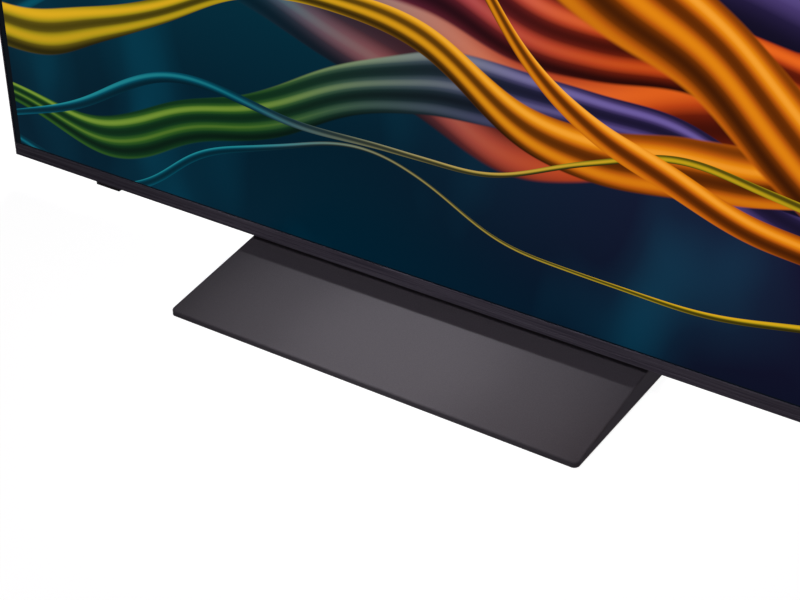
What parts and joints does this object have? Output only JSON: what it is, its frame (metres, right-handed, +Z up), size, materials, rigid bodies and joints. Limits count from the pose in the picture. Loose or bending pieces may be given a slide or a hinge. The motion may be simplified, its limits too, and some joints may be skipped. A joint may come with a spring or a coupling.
{
  "type": "flat screen television",
  "caption": "Flat screen television with a slim dark bezel, rear case with sockets and wall-mount threads, on a wide wedge-shaped central stand plate.",
  "frame": {"origin": "on the table under the middle of the set, at the centre of the stand base", "axes": "+X to the right seen from the front, +Y to the back, +Z up; the screen looks along -Y"},
  "size_m": [1.231, 0.24, 0.7443],
  "materials": {
    "stand_satin": "satin metallic paint over moulding",
    "coated_steel": "black electrocoat",
    "foot_rubber": "matt",
    "screw_steel": "blackened",
    "case_plastic": "fine moulded grain",
    "zinc_steel": "galvanised",
    "bezel_metal": "dark hairline",
    "frame_metal": "dark satin",
    "screen_film": "anti-glare film with the lit picture",
    "panel_glass": "polished",
    "dark_film": "smooth",
    "inner_plastic": "moulded",
    "white_sheet": "milky",
    "white_board": "white solder mask",
    "clear_lens": "clear moulding",
    "circuit_board": "green solder mask",
    "power_board": "tan laminate",
    "flex_film": "amber film",
    "ribbon_white": "smooth",
    "chip_black": "moulded",
    "sink_aluminium": "extruded",
    "capacitor_sleeve": "shrink sleeve",
    "wire_black": "taped bundle",
    "socket_metal": "nickel plated",
    "socket_plastic": "moulded",
    "cone_paper": "pressed paper",
    "module_plastic": "gloss black",
    "window_plastic": "infrared window",
    "spacer_steel": "zinc plated"
  },
  "bodies": {
    "set": {"aerial_sockets": "socket_metal", "back_cover": "case_plastic", "base_screws": "screw_steel", "board_chips": "chip_black", "board_standoffs": "zinc_steel", "bottom_bezel": "bezel_metal", "cable_gate_pin": "screw_steel", "cable_holder": "case_plastic", "chassis_screws": "screw_steel", "cover_screws": "screw_steel", "data_sockets": "socket_metal", "diffuser_plate": "white_sheet", "diffuser_posts": "white_sheet", "front_film": "screen_film", "internal_wiring": "wire_black", "jack_panel": "inner_plastic", "lcd_glass": "panel_glass", "left_frame": "frame_metal", "light_bar_lenses": "clear_lens", "light_bars": "white_board", "main_board": "circuit_board", "main_heat_sink": "sink_aluminium", "middle_frame": "inner_plastic", "neck_sleeve": "case_plastic", "network_socket": "socket_plastic", "optical_sheets": "white_sheet", "optical_socket": "socket_plastic", "panel_flexes": "flex_film", "power_board": "power_board", "power_capacitors": "capacitor_sleeve", "power_heat_sinks": "sink_aluminium", "power_inlet": "socket_plastic", "power_transformers": "chip_black", "rear_chassis": "zinc_steel", "rear_film": "dark_film", "reflector_sheet": "white_sheet", "ribbon_cables": "ribbon_white", "right_frame": "frame_metal", "sensor_board": "circuit_board", "sensor_housing": "module_plastic", "sensor_window": "window_plastic", "source_boards": "circuit_board", "speaker_boxes": "inner_plastic", "speaker_drivers": "coated_steel", "speaker_pads": "foot_rubber", "stand_base_cover": "stand_satin", "stand_base_plate": "coated_steel", "stand_bracket": "zinc_steel", "stand_feet": "foot_rubber", "stand_neck": "coated_steel", "stand_screws": "screw_steel", "timing_board": "circuit_board", "top_frame": "frame_metal", "video_sockets": "socket_metal", "wall_mount_spacers": "spacer_steel", "wireless_board": "circuit_board"},
    "power_button": {"power_button": "module_plastic"},
    "cable_gate": {"cable_gate": "case_plastic"},
    "left_cone": {"left_speaker_cone": "cone_paper"},
    "right_cone": {"right_speaker_cone": "cone_paper"}
  },
  "joints": [
    {"name": "power_button_press", "type": "slide", "parent": "set", "child": "power_button", "axis": [0, 0, 1], "range_m": [0, 0.0005], "stiffness_N_per_m": 400, "springref_m": -0.001},
    {"name": "cable_gate_swing", "type": "hinge", "parent": "set", "child": "cable_gate", "pos_m": [-0.02925, 0.1026, 0.2237], "axis": [0, 0, 1], "range_deg": [0, 100]},
    {"name": "left_cone_travel", "type": "slide", "parent": "set", "child": "left_cone", "axis": [0, 0, 1], "range_m": [-0.001, 0.001], "stiffness_N_per_m": 900},
    {"name": "right_cone_travel", "type": "slide", "parent": "set", "child": "right_cone", "axis": [0, 0, 1], "range_m": [-0.001, 0.001], "stiffness_N_per_m": 900}
  ]
}
